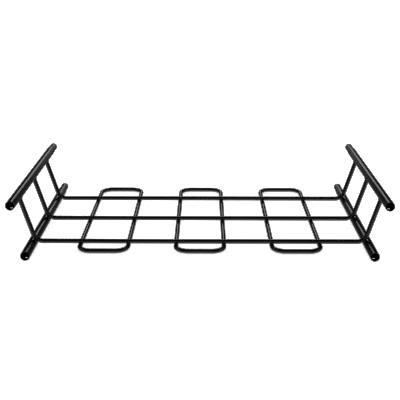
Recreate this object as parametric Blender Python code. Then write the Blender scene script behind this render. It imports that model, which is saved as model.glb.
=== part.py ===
"""Extension section of a steel roof basket: two tube rails a side, three bent cross rods, three floor loops.

Metres. +X runs across the vehicle, +Y towards the ends with the spigots, +Z up. The origin is the middle
of the section's box, at the height of its underside. Everything is welded, so nothing moves.
"""

from math import acos, cos, pi, radians, sin, sqrt, tan

import bmesh
import bpy
from mathutils import Matrix, Vector

# Overall sizes
OVERALL_WIDTH = 0.940  # over the outer sides of the upper rails
SECTION_LENGTH = 0.5334  # 21 in, spigots included
SIDE_RISE = 0.1234  # upper rail axis above the cross rod axis
SIDE_LEAN = radians(18.0)  # how far each side leans outwards from vertical

# Rails: thin tube, its rear end swaged down to a spigot that enters the next section's rail
RAIL_R = 0.0115
RAIL_WALL = 0.0012
RAIL_SIDES = 24
RAIL_SEAT = radians(41.4)  # round a bend's outside, from straight below, to its lower rail
SPIGOT_LENGTH = 0.0452
SPIGOT_CLEARANCE = 0.0002  # all round, between a spigot and the bore it enters
SHOULDER_LENGTH = 0.003
BOLT_HOLE_R = 0.0035
BOLT_HOLE_INSET = 0.016  # from a rail's open end, and from the shoulder
BOLT_HOLE_SIDES = 16

# Cross rods and floor loops, bent from one size of round wire
WIRE_R = 0.00535
WIRE_BEVEL = 6  # bevel resolution, 16 sides
RODS = ("front", "middle", "rear")
ROD_BEND_R = 0.028  # to the wire's centre line
ROD_BEND_STEPS = 8
LOOPS = ("left", "middle", "right")
LOOP_CORNER_R = 0.031  # to the wire's centre line
LOOP_CORNER_STEPS = 6
LOOP_END_GAP = 0.0032  # between a loop and the next section's loop

# Welds
SEAM = 0.0003  # clearance between pieces that touch
BEAD_R = 0.0022
BEAD_BEVEL = 2  # bevel resolution, 8 sides
BEAD_POINTS = 20

# Places along the section
FRONT_Y = -SECTION_LENGTH / 2
BACK_Y = SECTION_LENGTH / 2
SHOULDER_Y = BACK_Y - SPIGOT_LENGTH
BODY_LENGTH = SHOULDER_Y - FRONT_Y  # one section's share of an assembled basket
ROD_Y = [FRONT_Y + BODY_LENGTH * (i + 0.5) / len(RODS) for i in range(len(RODS))]
LOOP_FRONT_Y = FRONT_Y + SPIGOT_LENGTH
LOOP_BACK_Y = LOOP_FRONT_Y + BODY_LENGTH - 2 * WIRE_R - LOOP_END_GAP

# Places across the section. A side's bend turns from the floor to the leaning upright.
BEND_TURN = pi / 2 - SIDE_LEAN
UPPER_X = OVERALL_WIDTH / 2 - RAIL_R
BEND_CENTRE_X = UPPER_X - SIDE_RISE * tan(SIDE_LEAN) - ROD_BEND_R * tan(BEND_TURN / 2)
RAIL_TO_BEND = ROD_BEND_R + WIRE_R + SEAM + RAIL_R
LOWER_X = BEND_CENTRE_X + RAIL_TO_BEND * sin(RAIL_SEAT)
BAY = 2 * LOWER_X / (2 * len(LOOPS) + 1)  # the floor's equal bays: every second one is a loop
LOOP_X = [(i - (len(LOOPS) - 1) / 2) * 2 * BAY for i in range(len(LOOPS))]

# Heights: the faceted lower rails rest on their bottom facets
LOWER_RAIL_DROP = RAIL_TO_BEND * cos(RAIL_SEAT) - ROD_BEND_R
LOOP_DROP = 2 * WIRE_R + SEAM
ROD_Z = max(LOWER_RAIL_DROP + RAIL_R * cos(pi / RAIL_SIDES), LOOP_DROP + WIRE_R)
LOWER_Z = ROD_Z - LOWER_RAIL_DROP
LOOP_Z = ROD_Z - LOOP_DROP
UPPER_Z = ROD_Z + SIDE_RISE

# Directions in X and Z from a right-hand rail's axis to its joint with a rod
TO_BEND = (-sin(RAIL_SEAT), cos(RAIL_SEAT))
TO_UPRIGHT = (-sin(SIDE_LEAN), -cos(SIDE_LEAN))

SIDES = (("left", -1), ("right", 1))

# Black powder coat, as (base colour, roughness): the thin tube is blasted smoother than the wire
RAIL_COAT = ((0.022, 0.022, 0.024), 0.32)
WIRE_COAT = ((0.009, 0.009, 0.010), 0.35)
BEAD_COAT = ((0.012, 0.012, 0.012), 0.45)


def clear_scene():
    for obj in list(bpy.data.objects):
        bpy.data.objects.remove(obj)


def coated(name, coat):
    """A Principled surface of its own for each piece."""
    colour, roughness = coat
    material = bpy.data.materials.new(name + "_coat")
    material.use_nodes = True
    shader = material.node_tree.nodes["Principled BSDF"]
    shader.inputs["Base Color"].default_value = (*colour, 1.0)
    shader.inputs["Roughness"].default_value = roughness
    shader.inputs["Metallic"].default_value = 0.0
    return material


def add_object(name, data, place, coat):
    obj = bpy.data.objects.new(name, data)
    obj.location = place
    data.materials.append(coated(name, coat))
    bpy.context.scene.collection.objects.link(obj)
    return obj


def wire_curve(name, points, radius, bevel, closed):
    """A round wire or bead along the points, closed on itself or with flat ends."""
    curve = bpy.data.curves.new(name, "CURVE")
    curve.dimensions = "3D"
    curve.bevel_depth = radius
    curve.bevel_resolution = bevel
    curve.use_fill_caps = not closed
    spline = curve.splines.new("POLY")
    spline.points.add(len(points) - 1)
    for slot, point in zip(spline.points, points):
        slot.co = (*point, 1.0)
    spline.use_cyclic_u = closed
    spline.use_smooth = True
    return curve


def arc(centre, radius, start, end, steps):
    """Points of an arc in a plane, from the start angle to the end angle."""
    angles = [start + (end - start) * i / steps for i in range(steps + 1)]
    return [(centre[0] + radius * cos(a), centre[1] + radius * sin(a)) for a in angles]


def cross_rod(name, y):
    """One rod: floor run, a bend and a leaning upright each side, ending against the upper rails."""
    right = arc((BEND_CENTRE_X, ROD_BEND_R), ROD_BEND_R, -pi / 2, -pi / 2 + BEND_TURN, ROD_BEND_STEPS)
    to_end = RAIL_R + SEAM
    right.append((UPPER_X + to_end * TO_UPRIGHT[0], SIDE_RISE + to_end * TO_UPRIGHT[1]))
    left = [(-x, z) for x, z in reversed(right)]
    points = [(x, 0.0, z) for x, z in left + right]
    curve = wire_curve(name, points, WIRE_R, WIRE_BEVEL, closed=False)
    add_object(name, curve, (0.0, y, ROD_Z), WIRE_COAT)


def floor_loop(name, x):
    """One loop: a closed wire rectangle with round corners, hung under the rods."""
    half_w = BAY / 2 - LOOP_CORNER_R
    half_l = (LOOP_BACK_Y - LOOP_FRONT_Y) / 2 - LOOP_CORNER_R
    points = []
    for quarter, (sx, sy) in enumerate(((1, 1), (-1, 1), (-1, -1), (1, -1))):
        start = quarter * pi / 2
        points += arc((sx * half_w, sy * half_l), LOOP_CORNER_R, start, start + pi / 2, LOOP_CORNER_STEPS)
    curve = wire_curve(name, [(px, py, 0.0) for px, py in points], WIRE_R, WIRE_BEVEL, closed=True)
    add_object(name, curve, (x, (LOOP_FRONT_Y + LOOP_BACK_Y) / 2, LOOP_Z), WIRE_COAT)


def turned(name, profile, sides):
    """A closed profile of (y, radius) points turned about the Y axis, with flat facets top and bottom."""
    bm = bmesh.new()
    rings = []
    for y, r in profile:
        angles = [2 * pi * (i + 0.5) / sides for i in range(sides)]
        rings.append([bm.verts.new((r * cos(a), y, r * sin(a))) for a in angles])
    for ring, following in zip(rings, rings[1:] + rings[:1]):
        for i in range(sides):
            j = (i + 1) % sides
            bm.faces.new((ring[i], ring[j], following[j], following[i]))
    bmesh.ops.recalc_face_normals(bm, faces=bm.faces)
    mesh = bpy.data.meshes.new(name)
    bm.to_mesh(mesh)
    bm.free()
    mesh.shade_smooth()
    mesh.set_sharp_from_angle(angle=radians(30))
    return mesh


def bolt_hole_tool(name):
    """A cutter for a rail's two bolt holes, which go through its bottom wall only."""
    bm = bmesh.new()
    for y in (FRONT_Y + BOLT_HOLE_INSET, SHOULDER_Y + BOLT_HOLE_INSET):
        bmesh.ops.create_cone(
            bm,
            cap_ends=True,
            segments=BOLT_HOLE_SIDES,
            radius1=BOLT_HOLE_R,
            radius2=BOLT_HOLE_R,
            depth=2 * RAIL_R,
            matrix=Matrix.Translation((0.0, y, -RAIL_R)),
        )
    mesh = bpy.data.meshes.new(name)
    bm.to_mesh(mesh)
    bm.free()
    return mesh


def rail(name, x, z):
    """One rail: a tube open at the front, swaged to a spigot at the back, with a bolt hole at each end."""
    bore_r = RAIL_R - RAIL_WALL
    spigot_r = bore_r - SPIGOT_CLEARANCE
    swaged_y = SHOULDER_Y + SHOULDER_LENGTH
    profile = [
        (FRONT_Y, RAIL_R),
        (SHOULDER_Y, RAIL_R),
        (swaged_y, spigot_r),
        (BACK_Y, spigot_r),
        (BACK_Y, spigot_r - RAIL_WALL),
        (swaged_y, spigot_r - RAIL_WALL),
        (SHOULDER_Y, bore_r),
        (FRONT_Y, bore_r),
    ]
    tube = add_object(name, turned(name, profile, RAIL_SIDES), (x, 0.0, z), RAIL_COAT)
    tool = bpy.data.objects.new(name + "_holes", bolt_hole_tool(name + "_holes"))
    bpy.context.scene.collection.objects.link(tool)
    tool.parent = tube
    tool.hide_render = True
    tool.display_type = "WIRE"
    cut = tube.modifiers.new("bolt_holes", "BOOLEAN")
    cut.operation = "DIFFERENCE"
    cut.solver = "EXACT"
    cut.object = tool


def bead_at_bend():
    """The all-round weld bead where a lower rail lies on a bend, about the rail's axis.

    A ball of weld rolled round the contact keeps to one distance from the rail's axis and another from
    the rod's centre line. Its centre's path is given as (towards the bend, round the rail, along the rail).
    """
    to_rail = RAIL_R + SEAM + BEAD_R
    to_wire = WIRE_R + SEAM + BEAD_R
    outer = ROD_BEND_R + to_wire
    widest = acos((RAIL_TO_BEND**2 + to_rail**2 - outer**2) / (2 * RAIL_TO_BEND * to_rail))
    path = []
    for i in range(BEAD_POINTS):
        turn = 2 * pi * i / BEAD_POINTS
        a = widest * sin(turn)
        to_centre = sqrt(RAIL_TO_BEND**2 + to_rail**2 - 2 * RAIL_TO_BEND * to_rail * cos(a))
        along = sqrt(max(to_wire**2 - (to_centre - ROD_BEND_R) ** 2, 0.0))
        path.append((to_rail * cos(a), to_rail * sin(a), along if cos(turn) >= 0 else -along))
    return path


def bead_at_end():
    """The all-round weld bead where an upright's end meets an upper rail, about the rail's axis."""
    to_rail = RAIL_R + SEAM + BEAD_R
    to_wire = WIRE_R + SEAM + BEAD_R
    path = []
    for i in range(BEAD_POINTS):
        turn = 2 * pi * i / BEAD_POINTS
        across = to_wire * sin(turn)
        path.append((sqrt(to_rail**2 - across**2), across, to_wire * cos(turn)))
    return path


def weld(name, path, rail_axis, y, towards, side):
    """A bead on a rail: towards is the direction from the right-hand rail's axis to the joint, in X and Z."""
    rail_x, rail_z = rail_axis
    out = Vector((side * towards[0], 0.0, towards[1]))
    round_rail = Vector((-out.z, 0.0, out.x))
    along = Vector((0.0, 1.0, 0.0))
    points = [out * p + round_rail * q + along * r for p, q, r in path]
    curve = wire_curve(name, points, BEAD_R, BEAD_BEVEL, closed=True)
    add_object(name, curve, (side * rail_x, y, rail_z), BEAD_COAT)


def build():
    clear_scene()
    for station, y in zip(RODS, ROD_Y):
        cross_rod("floor_rod_" + station, y)
    for place, x in zip(LOOPS, LOOP_X):
        floor_loop("floor_loop_" + place, x)
    for side_name, side in SIDES:
        rail("lower_rail_" + side_name, side * LOWER_X, LOWER_Z)
        rail("upper_rail_" + side_name, side * UPPER_X, UPPER_Z)
        for station, y in zip(RODS, ROD_Y):
            joint = side_name + "_" + station
            weld("weld_lower_" + joint, bead_at_bend(), (LOWER_X, LOWER_Z), y, TO_BEND, side)
            weld("weld_upper_" + joint, bead_at_end(), (UPPER_X, UPPER_Z), y, TO_UPRIGHT, side)


build()
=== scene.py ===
"""Studio scene of a steel roof basket's extension section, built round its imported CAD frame.

The file follows the section as it is welded up: cross rods, floor loops and their spot welds, rails,
rail welds. The camera comes first and the studio last. Lengths are in metres, +X runs across the
vehicle and +Y towards the spigots.
"""

from math import acos, cos, exp, pi, radians, sin, sqrt, tan

import bmesh
import bpy
from mathutils import Euler, Matrix, Vector


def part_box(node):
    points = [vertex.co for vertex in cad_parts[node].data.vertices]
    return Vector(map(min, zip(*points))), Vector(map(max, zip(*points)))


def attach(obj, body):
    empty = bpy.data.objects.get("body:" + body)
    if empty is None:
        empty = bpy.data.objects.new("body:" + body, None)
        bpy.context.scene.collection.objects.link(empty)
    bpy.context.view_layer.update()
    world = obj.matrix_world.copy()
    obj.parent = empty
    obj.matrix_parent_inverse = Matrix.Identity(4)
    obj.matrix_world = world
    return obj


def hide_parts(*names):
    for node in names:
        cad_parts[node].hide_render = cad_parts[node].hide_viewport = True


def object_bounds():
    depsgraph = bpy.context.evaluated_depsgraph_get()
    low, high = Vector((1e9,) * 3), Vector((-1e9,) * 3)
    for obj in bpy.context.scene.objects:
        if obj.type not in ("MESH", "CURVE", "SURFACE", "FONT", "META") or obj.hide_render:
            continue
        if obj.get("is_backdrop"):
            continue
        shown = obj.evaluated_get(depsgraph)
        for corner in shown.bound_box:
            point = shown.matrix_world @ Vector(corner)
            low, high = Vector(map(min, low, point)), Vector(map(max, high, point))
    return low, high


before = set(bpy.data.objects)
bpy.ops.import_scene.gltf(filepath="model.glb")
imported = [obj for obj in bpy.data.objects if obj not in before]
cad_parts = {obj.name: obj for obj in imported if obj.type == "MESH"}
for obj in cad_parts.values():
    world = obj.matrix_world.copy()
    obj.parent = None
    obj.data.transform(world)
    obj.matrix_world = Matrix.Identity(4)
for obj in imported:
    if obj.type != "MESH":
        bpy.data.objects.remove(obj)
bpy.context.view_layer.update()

# ---------------------------------------------------------------------------------------------------
# Camera
# In front of the open rail ends and above the tray, looking a little down. The lens shift centres the
# section without tilting the camera further, which keeps the uprights nearly parallel.
# ---------------------------------------------------------------------------------------------------
CAMERA_PLACE = (0.0121, -1.9803, 0.7664)
CAMERA_DOWN = radians(11.369)
CAMERA_TURN = radians(0.385)
SENSOR_MM = 36.0
LENS_MM = 67.35
LENS_SHIFT = -0.27  # of the sensor's width

camera_data = bpy.data.cameras.new("camera")
camera_data.sensor_width = SENSOR_MM
camera_data.lens = LENS_MM
camera_data.shift_y = LENS_SHIFT
camera = bpy.data.objects.new("camera", camera_data)
camera.location = CAMERA_PLACE
camera.rotation_euler = Euler((pi / 2 - CAMERA_DOWN, 0.0, CAMERA_TURN))
bpy.context.scene.collection.objects.link(camera)
bpy.context.scene.camera = camera

# ---------------------------------------------------------------------------------------------------
# Cross rods
# Three lengths of round mild steel wire. Each is cold bent at both ends, so that the floor run turns
# up into the two leaning uprights. Cut square, blasted and powder coated with the rest.
# ---------------------------------------------------------------------------------------------------
WIRE_R = 0.00535
ROD_BEND_R = 0.028
SIDE_LEAN = radians(18.0)
RAIL_R = 0.0115
SEAM = 0.0003  # between a rod's end and the rail that it is welded to
WIRE_FACETS = 48
ROD_BEND_STEPS = 28
CUT_EDGE_ANGLE = radians(40)  # a rod's cut ends stay sharp
MM_PER_M = 1000.0
COAT_IOR = 1.5  # cured polyester
DRIFT_PER_M = 28.0  # the film's thickness drifts over about 35 mm
DRIFT_SPAN = (0.3, 0.7)  # the part of its range that the noise mostly fills
GLOSS_DRIFT = 0.05
GRAIN_MM = 0.9  # the powder's own grain is 0.05 mm, too fine to show, so it is drawn this coarse
GRAIN_DEPTH = 0.00003


def middle(node):
    low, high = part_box(node)
    return (low + high) / 2


def linear(hex_colour):
    """An sRGB hex colour as linear RGBA."""
    parts = [int(hex_colour[i : i + 2], 16) / 255 for i in (1, 3, 5)]
    return (*[p / 12.92 if p <= 0.04045 else ((p + 0.055) / 1.055) ** 2.4 for p in parts], 1.0)


def add(tree, kind, inputs=None, **settings):
    """Adds a node. Each input, by name or number, takes a value or another node's output."""
    node = tree.nodes.new(kind)
    for name, value in settings.items():
        setattr(node, name, value)
    for name, value in (inputs or {}).items():
        if isinstance(value, bpy.types.NodeSocket):
            tree.links.new(value, node.inputs[name])
        else:
            node.inputs[name].default_value = value
    return node


def powder_coat(name, hex_dark, hex_light, roughness, peel_mm, peel_depth):
    """Black polyester powder coat, faintly uneven in tone and gloss, with orange peel and a grain."""
    material = bpy.data.materials.new(name)
    material.use_nodes = True
    tree = material.node_tree
    shader = tree.nodes["Principled BSDF"]
    place = add(tree, "ShaderNodeTexCoord").outputs["Object"]
    # Where the film is thicker, it is a little lighter and less glossy
    drift = add(
        tree, "ShaderNodeTexNoise", {"Vector": place, "Scale": DRIFT_PER_M, "Detail": 2.0}
    ).outputs["Fac"]
    tone = add(
        tree,
        "ShaderNodeMix",
        {"Factor": drift, 6: linear(hex_dark), 7: linear(hex_light)},
        data_type="RGBA",
    )
    gloss = add(
        tree,
        "ShaderNodeMapRange",
        {
            "Value": drift,
            "From Min": DRIFT_SPAN[0],
            "From Max": DRIFT_SPAN[1],
            "To Min": roughness - GLOSS_DRIFT,
            "To Max": roughness + GLOSS_DRIFT,
        },
    )
    # Orange peel: the shallow waves that the melted powder sets in
    peel = add(
        tree, "ShaderNodeTexNoise", {"Vector": place, "Scale": MM_PER_M / peel_mm, "Detail": 1.0}
    )
    waves = add(
        tree,
        "ShaderNodeBump",
        {"Height": peel.outputs["Fac"], "Distance": peel_depth, "Strength": 1.0},
    )
    grain = add(
        tree, "ShaderNodeTexNoise", {"Vector": place, "Scale": MM_PER_M / GRAIN_MM, "Detail": 0.0}
    )
    bump = add(
        tree,
        "ShaderNodeBump",
        {
            "Height": grain.outputs["Fac"],
            "Distance": GRAIN_DEPTH,
            "Strength": 1.0,
            "Normal": waves.outputs["Normal"],
        },
    )
    tree.links.new(tone.outputs[2], shader.inputs["Base Color"])
    tree.links.new(gloss.outputs["Result"], shader.inputs["Roughness"])
    tree.links.new(bump.outputs["Normal"], shader.inputs["Normal"])
    shader.inputs["IOR"].default_value = COAT_IOR
    return material


# Satin black polyester powder on blasted wire: nearly black where nothing pale is mirrored in it
WIRE_COAT = powder_coat(
    "satin_black_powder_coat_on_wire",
    "#0a0a0b",
    "#121213",
    roughness=0.31,
    peel_mm=2.4,
    peel_depth=0.00006,
)


def new_tree(name, sockets):
    """A Geometry Nodes tree with named inputs. Returns it with its input node and its output node."""
    tree = bpy.data.node_groups.new(name, "GeometryNodeTree")
    for label, kind in [("Geometry", "NodeSocketGeometry"), *sockets]:
        tree.interface.new_socket(label, in_out="INPUT", socket_type=kind)
    tree.interface.new_socket("Geometry", in_out="OUTPUT", socket_type="NodeSocketGeometry")
    return tree, tree.nodes.new("NodeGroupInput"), tree.nodes.new("NodeGroupOutput")


def close_tree(tree, end, geometry, material):
    """Every tree ends in real geometry that carries its material."""
    real = add(tree, "GeometryNodeRealizeInstances", {"Geometry": geometry})
    painted = add(
        tree, "GeometryNodeSetMaterial", {"Geometry": real.outputs[0], "Material": material}
    )
    tree.links.new(painted.outputs[0], end.inputs[0])


def grown(name, points, edges, tree, values):
    """Runs a tree on a mesh of points and edges, and keeps the result as a plain mesh object."""
    mesh = bpy.data.meshes.new(name)
    mesh.from_pydata(points, edges, [])
    obj = bpy.data.objects.new(name, mesh)
    bpy.context.scene.collection.objects.link(obj)
    modifier = obj.modifiers.new("grow", "NODES")
    modifier.node_group = tree
    for item in tree.interface.items_tree:
        if item.in_out == "INPUT" and item.name in values:
            modifier[item.identifier] = values[item.name]
    graph = bpy.context.evaluated_depsgraph_get()
    result = bpy.data.meshes.new_from_object(obj.evaluated_get(graph))
    obj.modifiers.clear()
    obj.data = result
    result.name = name
    return obj


# Bends wire: the corners of its route are rounded to the bend radius, and a round bar runs along it
bend_tree, route, bend_end = new_tree(
    "bent_wire",
    [
        ("Wire Radius", "NodeSocketFloat"),
        ("Bend Radius", "NodeSocketFloat"),
        ("Bend Steps", "NodeSocketInt"),
        ("Facets", "NodeSocketInt"),
        ("Material", "NodeSocketMaterial"),
    ],
)
line = add(bend_tree, "GeometryNodeMeshToCurve", {0: route.outputs["Geometry"]})
bent = add(
    bend_tree,
    "GeometryNodeFilletCurve",
    {
        "Curve": line.outputs[0],
        "Radius": route.outputs["Bend Radius"],
        "Count": route.outputs["Bend Steps"],
    },
    mode="POLY",
)
section = add(
    bend_tree,
    "GeometryNodeCurvePrimitiveCircle",
    {"Radius": route.outputs["Wire Radius"], "Resolution": route.outputs["Facets"]},
)
bar = add(
    bend_tree,
    "GeometryNodeCurveToMesh",
    {"Curve": bent.outputs[0], "Profile Curve": section.outputs[0], "Fill Caps": True},
)
smooth_bar = add(bend_tree, "GeometryNodeSetShadeSmooth", {0: bar.outputs[0]})
close_tree(bend_tree, bend_end, smooth_bar.outputs[0], route.outputs["Material"])


def bent_wire(name, corners, edges, bend_radius, bend_steps):
    return grown(
        name,
        corners,
        edges,
        bend_tree,
        {
            "Wire Radius": WIRE_R,
            "Bend Radius": bend_radius,
            "Bend Steps": bend_steps,
            "Facets": WIRE_FACETS,
            "Material": WIRE_COAT,
        },
    )


upper_axis = middle("upper_rail_right")
rod_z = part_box("floor_rod_middle")[0].z + WIRE_R
corner_x = upper_axis.x - (upper_axis.z - rod_z) * tan(SIDE_LEAN)
end_gap = RAIL_R + SEAM
end_x = upper_axis.x - end_gap * sin(SIDE_LEAN)
end_z = upper_axis.z - end_gap * cos(SIDE_LEAN)
rod_y = {}
for station in ("front", "middle", "rear"):
    node = "floor_rod_" + station
    y = middle(node).y
    rod_y[station] = y
    corners = [(-end_x, y, end_z), (-corner_x, y, rod_z), (corner_x, y, rod_z), (end_x, y, end_z)]
    rod = bent_wire(
        "bent_rod_" + station, corners, [(0, 1), (1, 2), (2, 3)], ROD_BEND_R, ROD_BEND_STEPS
    )
    rod.data.set_sharp_from_angle(angle=CUT_EDGE_ANGLE)
    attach(rod, "root")
    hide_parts(node)

# ---------------------------------------------------------------------------------------------------
# Floor loops
# Three closed rectangles of the same wire with round corners. They hang under the rods, spot welded at
# each crossing, and reach past the rails' shoulders towards the next section's loops.
# ---------------------------------------------------------------------------------------------------
LOOP_CORNER_R = 0.031
LOOP_CORNER_STEPS = 24


def ring_edges(count):
    return [(i, (i + 1) % count) for i in range(count)]


loop_x = {}
for place in ("left", "middle", "right"):
    node = "floor_loop_" + place
    low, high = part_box(node)
    loop_z = low.z + WIRE_R
    west, east = low.x + WIRE_R, high.x - WIRE_R
    south, north = low.y + WIRE_R, high.y - WIRE_R
    loop_x[place] = (west, east)
    plan = [(east, south), (east, north), (west, north), (west, south)]
    corners = [(x, y, loop_z) for x, y in plan]
    loop = bent_wire("wire_loop_" + place, corners, ring_edges(4), LOOP_CORNER_R, LOOP_CORNER_STEPS)
    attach(loop, "root")
    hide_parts(node)

# ---------------------------------------------------------------------------------------------------
# Spot welds
# Where a loop's leg passes under a rod, the two wires are squeezed together hot. The steel pushed out
# of the joint stands round it as a low, smooth upset ring, coated with the rest.
# ---------------------------------------------------------------------------------------------------
UPSET_R = 0.0016
UPSET_ROOT = 0.0002  # from the wires' surfaces to the middle of the ring
UPSET_POINTS = 64
UPSET_STEPS = 72
UPSET_FACETS = 12
UPSET_SEED = 3.0
BEAD_WANDER = 0.0003  # how far weld metal strays from its line
WANDER_PER_M = 260.0  # it strays to and fro over about 4 mm

# Cured powder over weld metal: it pools there, so the peel is finer and deeper than on the wire
WELD_COAT = powder_coat(
    "black_powder_coat_over_weld",
    "#0a0a0b",
    "#141415",
    roughness=0.32,
    peel_mm=1.6,
    peel_depth=0.0001,
)

# Lays a weld bead: a round run of metal along a closed route, rippled at each step of the torch
bead_tree, seam_in, bead_end = new_tree(
    "weld_bead",
    [
        ("Bead Radius", "NodeSocketFloat"),
        ("Ripple Count", "NodeSocketFloat"),
        ("Ripple Depth", "NodeSocketFloat"),
        ("Wander", "NodeSocketFloat"),
        ("Steps", "NodeSocketInt"),
        ("Facets", "NodeSocketInt"),
        ("Seed", "NodeSocketFloat"),
        ("Material", "NodeSocketMaterial"),
    ],
)
bead_line = add(bead_tree, "GeometryNodeMeshToCurve", {0: seam_in.outputs["Geometry"]})
bead_steps = add(
    bead_tree,
    "GeometryNodeResampleCurve",
    {"Curve": bead_line.outputs[0], "Count": seam_in.outputs["Steps"]},
)
along = add(bead_tree, "GeometryNodeSplineParameter").outputs["Factor"]
turns = add(
    bead_tree,
    "ShaderNodeMath",
    {0: along, 1: seam_in.outputs["Ripple Count"]},
    operation="MULTIPLY",
)
half_turns = add(bead_tree, "ShaderNodeMath", {0: turns.outputs[0], 1: pi}, operation="MULTIPLY")
wave = add(bead_tree, "ShaderNodeMath", {0: half_turns.outputs[0]}, operation="SINE")
crest = add(bead_tree, "ShaderNodeMath", {0: wave.outputs[0]}, operation="ABSOLUTE")
rise = add(
    bead_tree,
    "ShaderNodeMath",
    {0: crest.outputs[0], 1: seam_in.outputs["Ripple Depth"]},
    operation="MULTIPLY",
)
swell = add(bead_tree, "ShaderNodeMath", {0: rise.outputs[0], 1: 1.0}, operation="ADD")
spot = add(bead_tree, "GeometryNodeInputPosition")
wobble = add(
    bead_tree,
    "ShaderNodeTexNoise",
    {
        "Vector": spot.outputs[0],
        "W": seam_in.outputs["Seed"],
        "Scale": WANDER_PER_M,
        "Detail": 0.0,
    },
    noise_dimensions="4D",
)
centred = add(
    bead_tree,
    "ShaderNodeVectorMath",
    {0: wobble.outputs["Color"], 1: (0.5, 0.5, 0.5)},
    operation="SUBTRACT",
)
shift = add(
    bead_tree,
    "ShaderNodeVectorMath",
    {0: centred.outputs[0], "Scale": seam_in.outputs["Wander"]},
    operation="SCALE",
)
moved = add(
    bead_tree,
    "GeometryNodeSetPosition",
    {"Geometry": bead_steps.outputs[0], "Offset": shift.outputs[0]},
)
bead_section = add(
    bead_tree,
    "GeometryNodeCurvePrimitiveCircle",
    {"Radius": seam_in.outputs["Bead Radius"], "Resolution": seam_in.outputs["Facets"]},
)
bead = add(
    bead_tree,
    "GeometryNodeCurveToMesh",
    {
        "Curve": moved.outputs[0],
        "Profile Curve": bead_section.outputs[0],
        "Scale": swell.outputs[0],
    },
)
smooth_bead = add(bead_tree, "GeometryNodeSetShadeSmooth", {0: bead.outputs[0]})
close_tree(bead_tree, bead_end, smooth_bead.outputs[0], seam_in.outputs["Material"])


def laid_bead(name, route_points, radius, ripples, ripple_depth, steps, facets, seed):
    return grown(
        name,
        route_points,
        ring_edges(len(route_points)),
        bead_tree,
        {
            "Bead Radius": radius,
            "Ripple Count": float(ripples),
            "Ripple Depth": ripple_depth,
            "Wander": BEAD_WANDER,
            "Steps": steps,
            "Facets": facets,
            "Seed": seed,
            "Material": WELD_COAT,
        },
    )


def upset_route(to_axis, drop):
    """The closed line at one distance from a rod's axis, along X, and a leg's, along Y below it."""
    route_points = []
    for i in range(UPSET_POINTS):
        turn = 2 * pi * i / UPSET_POINTS
        z = -drop / 2 + (to_axis - drop / 2) * cos(2 * turn)
        x = sqrt(max(to_axis**2 - (z + drop) ** 2, 0.0))
        y = sqrt(max(to_axis**2 - z**2, 0.0))
        route_points.append((x if sin(turn) >= 0 else -x, y if cos(turn) >= 0 else -y, z))
    return route_points


# Puts a copy of one made piece at every point
copy_tree, points_in, copy_end = new_tree(
    "copies_on_points", [("Piece", "NodeSocketObject"), ("Material", "NodeSocketMaterial")]
)
piece_info = add(copy_tree, "GeometryNodeObjectInfo", {"Object": points_in.outputs["Piece"]})
copy_points = add(copy_tree, "GeometryNodeMeshToPoints", {"Mesh": points_in.outputs["Geometry"]})
copies = add(
    copy_tree,
    "GeometryNodeInstanceOnPoints",
    {"Points": copy_points.outputs[0], "Instance": piece_info.outputs["Geometry"]},
)
close_tree(copy_tree, copy_end, copies.outputs[0], points_in.outputs["Material"])

upset = laid_bead(
    "spot_weld_pattern",
    upset_route(WIRE_R + UPSET_ROOT, rod_z - loop_z),
    radius=UPSET_R,
    ripples=0,
    ripple_depth=0.0,
    steps=UPSET_STEPS,
    facets=UPSET_FACETS,
    seed=UPSET_SEED,
)
crossings = [(x, y, rod_z) for pair in loop_x.values() for x in pair for y in rod_y.values()]
spot_welds = grown(
    "spot_welds", crossings, [], copy_tree, {"Piece": upset, "Material": WELD_COAT}
)
bpy.data.objects.remove(upset)
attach(spot_welds, "root")

# ---------------------------------------------------------------------------------------------------
# Rails
# Four lengths of seam-welded mild steel tube. The front end is cut square and left open; the back end
# is swaged down to a spigot. A bolt hole is punched through the bottom wall near each end.
# ---------------------------------------------------------------------------------------------------
RAIL_WALL = 0.0012
RAIL_FACETS = 96
SPIGOT_R = 0.0101
SPIGOT_LENGTH = 0.0452
SHOULDER_LENGTH = 0.0036
SHOULDER_STEPS = 10
RIM_R = 0.00035  # the cut edges' roundness under the coat
RIM_STEPS = 4
BOLT_HOLE_R = 0.0035
BOLT_HOLE_INSET = 0.016
BOLT_HOLE_FACETS = 40
HOLE_EDGE_ANGLE = radians(35)  # the punched edges stay sharp
TUBE_SEAM_HEIGHT = 0.00022  # the weld seam inside the tube
TUBE_SEAM_HALF_ANGLE = radians(5.0)
TUBE_SEAM_TURN = radians(118.0)  # where it lies round the bore, from the +X side

# The same powder on smooth tube: the film lies flatter, so the tube carries a clear highlight
RAIL_COAT = powder_coat(
    "satin_black_powder_coat_on_tube",
    "#0d0d0e",
    "#171718",
    roughness=0.27,
    peel_mm=2.8,
    peel_depth=0.00008,
)
# Powder reaches only thinly into a bore, so the inside is dull and dark over mill scale
BORE_COAT = powder_coat(
    "thin_overspray_in_bore",
    "#070707",
    "#100e0d",
    roughness=0.62,
    peel_mm=1.6,
    peel_depth=0.0001,
)


def rim(centre_y, centre_r, start, end):
    """A small arc of (y, radius) points that rounds one cut edge."""
    angles = [start + (end - start) * i / RIM_STEPS for i in range(RIM_STEPS + 1)]
    return [(centre_y + RIM_R * cos(a), centre_r + RIM_R * sin(a)) for a in angles]


def shoulder(start_y, start_r, end_y, end_r):
    """The swaged step between two radii, an easy curve at both ends."""
    shares = [i / SHOULDER_STEPS for i in range(SHOULDER_STEPS + 1)]
    return [
        (start_y + (end_y - start_y) * t, start_r + (end_r - start_r) * (1 - cos(pi * t)) / 2)
        for t in shares
    ]


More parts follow.
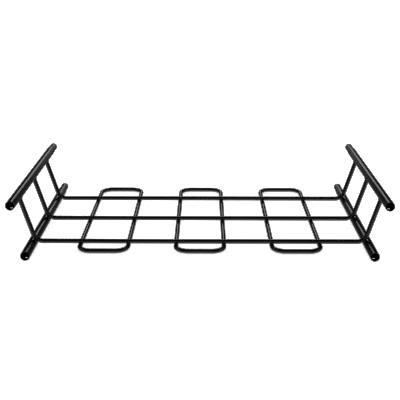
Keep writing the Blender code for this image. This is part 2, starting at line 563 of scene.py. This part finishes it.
def new_object(name, bm, *materials):
    """Turns a bmesh into an object in the scene, and frees it."""
    mesh = bpy.data.meshes.new(name)
    bm.to_mesh(mesh)
    bm.free()
    for material in materials:
        mesh.materials.append(material)
    obj = bpy.data.objects.new(name, mesh)
    bpy.context.scene.collection.objects.link(obj)
    return obj


def turned_wall(name, axis, open_y, spigot_y):
    """A rail's wall, turned about its axis, with the tube's seam pressed into the bore."""
    shoulder_y = spigot_y - SPIGOT_LENGTH
    bore_r = RAIL_R - RAIL_WALL
    inner_r = SPIGOT_R - RAIL_WALL
    outer = (
        rim(open_y + RIM_R, RAIL_R - RIM_R, pi, pi / 2)
        + shoulder(shoulder_y, RAIL_R, shoulder_y + SHOULDER_LENGTH, SPIGOT_R)
        + rim(spigot_y - RIM_R, SPIGOT_R - RIM_R, pi / 2, 0.0)
    )
    inner = (
        rim(spigot_y - RIM_R, inner_r + RIM_R, 0.0, -pi / 2)
        + shoulder(shoulder_y + SHOULDER_LENGTH, inner_r, shoulder_y, bore_r)
        + rim(open_y + RIM_R, bore_r + RIM_R, -pi / 2, -pi)
    )
    bm = bmesh.new()
    rings = []
    for place_in_wall, (y, r) in enumerate(outer + inner):
        ring = []
        for i in range(RAIL_FACETS):
            turn = 2 * pi * i / RAIL_FACETS
            off_seam = (turn - TUBE_SEAM_TURN) / TUBE_SEAM_HALF_ANGLE
            in_bore = place_in_wall >= len(outer)
            reach = r - (TUBE_SEAM_HEIGHT * exp(-(off_seam**2)) if in_bore else 0.0)
            ring.append(bm.verts.new((axis.x + reach * cos(turn), y, axis.z + reach * sin(turn))))
        rings.append(ring)
    for k, ring in enumerate(rings):
        following = rings[(k + 1) % len(rings)]
        past_the_rims = len(outer) + RIM_STEPS <= k < len(rings) - RIM_STEPS - 1
        for i in range(RAIL_FACETS):
            j = (i + 1) % RAIL_FACETS
            face = bm.faces.new((ring[i], ring[j], following[j], following[i]))
            face.material_index = 1 if past_the_rims else 0
    bmesh.ops.recalc_face_normals(bm, faces=bm.faces)
    return new_object(name, bm, RAIL_COAT, BORE_COAT)


def tube_rail(name, node):
    """Makes a rail's wall and punches its two bolt holes."""
    low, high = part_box(node)
    axis = middle(node)
    tube = turned_wall(name, axis, low.y, high.y)
    bm = bmesh.new()
    for end_y in (low.y, high.y - SPIGOT_LENGTH):
        bmesh.ops.create_cone(
            bm,
            cap_ends=True,
            segments=BOLT_HOLE_FACETS,
            radius1=BOLT_HOLE_R,
            radius2=BOLT_HOLE_R,
            depth=2 * RAIL_R,
            matrix=Matrix.Translation((axis.x, end_y + BOLT_HOLE_INSET, axis.z - RAIL_R)),
        )
    punch = new_object("punch", bm, RAIL_COAT)
    holes = tube.modifiers.new("bolt_holes", "BOOLEAN")
    holes.operation = "DIFFERENCE"
    holes.object = punch
    graph = bpy.context.evaluated_depsgraph_get()
    punched = bpy.data.meshes.new_from_object(tube.evaluated_get(graph))
    tube.modifiers.clear()
    tube.data = punched
    punched.name = name
    bpy.data.objects.remove(punch)
    punched.shade_smooth()
    punched.set_sharp_from_angle(angle=HOLE_EDGE_ANGLE)
    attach(tube, "root")
    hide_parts(node)


for height in ("lower", "upper"):
    for side in ("left", "right"):
        tube_rail(f"{height}_tube_{side}", f"{height}_rail_{side}")

# ---------------------------------------------------------------------------------------------------
# Rail welds
# Twelve MIG fillet welds, each run all the way round its joint: six where a lower rail lies against
# a rod's bend, six where an upright's cut end meets an upper rail. Each ripple is one torch step.
# ---------------------------------------------------------------------------------------------------
FILLET_R = 0.0016
FILLET_ROOT = 0.0004  # from the joined surfaces to the middle of the bead
FILLET_POINTS = 96
FILLET_STEPS = 240
FILLET_FACETS = 18
FIRST_SEED = 10.0
RIPPLE_PITCH = 0.0018
RIPPLE_DEPTH = 0.14  # of the bead's radius
TO_RAIL = RAIL_R + FILLET_ROOT
TO_WIRE = WIRE_R + FILLET_ROOT

lower_axis = middle("lower_rail_right")
bend_centre = Vector(
    (corner_x - ROD_BEND_R * tan((pi / 2 - SIDE_LEAN) / 2), rod_z + ROD_BEND_R)
)
to_centre = bend_centre - Vector((lower_axis.x, lower_axis.z))
bend_reach = to_centre.length


def fillet_at_bend():
    """A closed route round the touch of rail and bend: (towards the bend, round the rail, along it)."""
    outermost = ROD_BEND_R + TO_WIRE
    widest = acos((bend_reach**2 + TO_RAIL**2 - outermost**2) / (2 * bend_reach * TO_RAIL))
    route_points = []
    for i in range(FILLET_POINTS):
        turn = 2 * pi * i / FILLET_POINTS
        a = widest * sin(turn)
        reach = sqrt(bend_reach**2 + TO_RAIL**2 - 2 * bend_reach * TO_RAIL * cos(a))
        aside = sqrt(max(TO_WIRE**2 - (reach - ROD_BEND_R) ** 2, 0.0))
        side_step = aside if cos(turn) >= 0 else -aside
        route_points.append((TO_RAIL * cos(a), TO_RAIL * sin(a), side_step))
    return route_points


def fillet_at_end():
    """A closed route round an upright's end on its rail, in the same terms."""
    route_points = []
    for i in range(FILLET_POINTS):
        turn = 2 * pi * i / FILLET_POINTS
        across = TO_WIRE * sin(turn)
        route_points.append((sqrt(TO_RAIL**2 - across**2), across, TO_WIRE * cos(turn)))
    return route_points


def fillet_weld(name, node, route_points, axis, y, towards, mirror, seed):
    """Lays one bead round a joint of the right-hand rail, or of its mirror image on the left."""
    out = Vector((mirror * towards[0], 0.0, towards[1]))
    round_rail = Vector((-out.z, 0.0, out.x))
    centre = Vector((mirror * axis.x, y, axis.z))
    places = [centre + out * p + round_rail * q + Vector((0.0, r, 0.0)) for p, q, r in route_points]
    run = sum((places[i] - places[i - 1]).length for i in range(FILLET_POINTS))
    weld = laid_bead(
        name,
        places,
        radius=FILLET_R,
        ripples=round(run / RIPPLE_PITCH),
        ripple_depth=RIPPLE_DEPTH,
        steps=FILLET_STEPS,
        facets=FILLET_FACETS,
        seed=seed,
    )
    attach(weld, "root")
    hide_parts(node)


to_bend = to_centre.normalized()
to_upright = (-sin(SIDE_LEAN), -cos(SIDE_LEAN))
joints = (
    ("lower", fillet_at_bend(), lower_axis, to_bend, 0.0),
    ("upper", fillet_at_end(), upper_axis, to_upright, 0.5),
)
seed = FIRST_SEED
for side, mirror in (("left", -1), ("right", 1)):
    for station, y in rod_y.items():
        for height, route_points, axis, towards, seed_step in joints:
            joint = f"{height}_{side}_{station}"
            fillet_weld(
                "fillet_" + joint,
                "weld_" + joint,
                route_points,
                axis,
                y,
                towards,
                mirror,
                seed + seed_step,
            )
        seed += 1.0

# ---------------------------------------------------------------------------------------------------
# Studio
# A white acrylic table lit from below, so that hardly any shadow falls on it, under a soft ceiling
# light. Soft boxes stand all round, the strongest behind. Each draws a long highlight along the steel
# that mirrors it, and the rest of the steel stays dark.
# ---------------------------------------------------------------------------------------------------
TABLE_HALF = 9.0
TABLE_COLOUR = "#f2f2f2"
TABLE_GLOW = 1.0
TABLE_ROUGHNESS = 0.9
TABLE_SPECULAR = 0.1
CEILING_STRENGTH = 0.2
CEILING_SPREAD = radians(100.0)
SOFT_BOXES = {  # place, width and height in metres, then radiance
    "back": ((0.0, 9.0, 5.2), (3.0, 4.8), 2.7),
    "front": ((0.0, -6.0, 1.9), (3.4, 2.2), 0.7),
    "back_low": ((0.0, 4.0, 0.4), (2.4, 0.8), 0.3),
    "left": ((-5.0, 0.0, 2.9), (3.2, 2.4), 1.2),
    "right": ((5.0, 0.0, 2.9), (3.2, 2.4), 1.2),
}
GLOW_BELOW = 1.25  # radiance of the pale surroundings straight below, as the steel mirrors them
GLOW_LEVEL = 0.1  # at the height of the tray
GLOW_TOP = 0.6  # how high it has faded to nothing, as the sine of the elevation
GLOW_FRONT = 0.9  # how much stronger it is on the near side, and weaker on the far side
TONE_CURVE = [  # scene light to shown light: the steel's tones stay, thin wire's soft edges go darker
    (0.02, 0.016),
    (0.06, 0.05),
    (0.12, 0.11),
    (0.2, 0.155),
    (0.3, 0.17),
    (0.45, 0.21),
    (0.6, 0.25),
    (0.75, 0.35),
    (0.88, 0.54),
]
ALL_CHANNELS = 3  # the curve that acts on red, green and blue alike
EDGE_SOFTNESS = 1.1  # the width of the renderer's smoothing filter

# Matt white acrylic, lit through: an even pale ground with hardly any sheen
acrylic = bpy.data.materials.new("matt_white_acrylic_lit_from_below")
acrylic.use_nodes = True
sheet = acrylic.node_tree.nodes["Principled BSDF"]
sheet.inputs["Base Color"].default_value = linear(TABLE_COLOUR)
sheet.inputs["Roughness"].default_value = TABLE_ROUGHNESS
sheet.inputs["Specular IOR Level"].default_value = TABLE_SPECULAR
sheet.inputs["Emission Color"].default_value = linear(TABLE_COLOUR)
sheet.inputs["Emission Strength"].default_value = TABLE_GLOW

table_corners = [
    (x * TABLE_HALF, y * TABLE_HALF, 0.0) for x, y in ((-1, -1), (1, -1), (1, 1), (-1, 1))
]
table_mesh = bpy.data.meshes.new("table")
table_mesh.from_pydata(table_corners, [], [(0, 1, 2, 3)])
table_mesh.materials.append(acrylic)
table = bpy.data.objects.new("table", table_mesh)
table.visible_glossy = False  # the steel mirrors the world's glow instead, which fades to the level
bpy.context.scene.collection.objects.link(table)
table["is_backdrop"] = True

ceiling_data = bpy.data.lights.new("ceiling_light", "SUN")
ceiling_data.energy = CEILING_STRENGTH
ceiling_data.angle = CEILING_SPREAD
ceiling = bpy.data.objects.new("ceiling_light", ceiling_data)
ceiling.visible_glossy = False
bpy.context.scene.collection.objects.link(ceiling)

for place_name, (place, size, radiance) in SOFT_BOXES.items():
    box_data = bpy.data.lights.new(place_name + "_soft_box", "AREA")
    box_data.shape = "RECTANGLE"
    box_data.size, box_data.size_y = size
    box_data.energy = radiance * pi * size[0] * size[1]
    soft_box = bpy.data.objects.new(place_name + "_soft_box", box_data)
    soft_box.location = place
    soft_box.rotation_euler = (-Vector(place)).to_track_quat("-Z", "Y").to_euler()
    soft_box.visible_camera = False
    bpy.context.scene.collection.objects.link(soft_box)

# The surroundings: white as seen past the table, but to the steel a glow that is strongest below
world = bpy.data.worlds.new("studio")
world.use_nodes = True
bpy.context.scene.world = world
air = world.node_tree
backdrop = air.nodes["Background"]
backdrop.inputs["Color"].default_value = (1.0, 1.0, 1.0, 1.0)
ray = add(air, "ShaderNodeLightPath")
way = add(air, "ShaderNodeTexCoord")
way_parts = add(air, "ShaderNodeSeparateXYZ", {"Vector": way.outputs["Generated"]}).outputs
depth = add(air, "ShaderNodeMath", {0: 0.0, 1: way_parts["Z"]}, operation="SUBTRACT")
below = add(air, "ShaderNodeMath", {0: depth.outputs[0], 1: 0.0}, operation="MAXIMUM")
near = add(
    air,
    "ShaderNodeMath",
    {0: way_parts["Y"], 1: -GLOW_FRONT, 2: 1.0},
    operation="MULTIPLY_ADD",
)
share = add(
    air, "ShaderNodeMath", {0: below.outputs[0], 1: near.outputs[0]}, operation="MULTIPLY"
)
fade = add(
    air,
    "ShaderNodeMapRange",
    {
        "Value": way_parts["Z"],
        "From Min": 0.0,
        "From Max": GLOW_TOP,
        "To Min": GLOW_LEVEL,
        "To Max": 0.0,
    },
)
glow = add(
    air,
    "ShaderNodeMath",
    {0: share.outputs[0], 1: GLOW_BELOW, 2: fade.outputs["Result"]},
    operation="MULTIPLY_ADD",
)
seen = add(
    air, "ShaderNodeMix", {"Factor": ray.outputs["Is Camera Ray"], "A": glow.outputs[0], "B": 1.0}
)
air.links.new(seen.outputs[0], backdrop.inputs["Strength"])

look = bpy.context.scene.view_settings
look.view_transform = "Standard"
look.use_curve_mapping = True
for shade, shown in TONE_CURVE:
    look.curve_mapping.curves[ALL_CHANNELS].points.new(shade, shown)
look.curve_mapping.update()
bpy.context.scene.cycles.filter_width = EDGE_SOFTNESS

low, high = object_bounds()
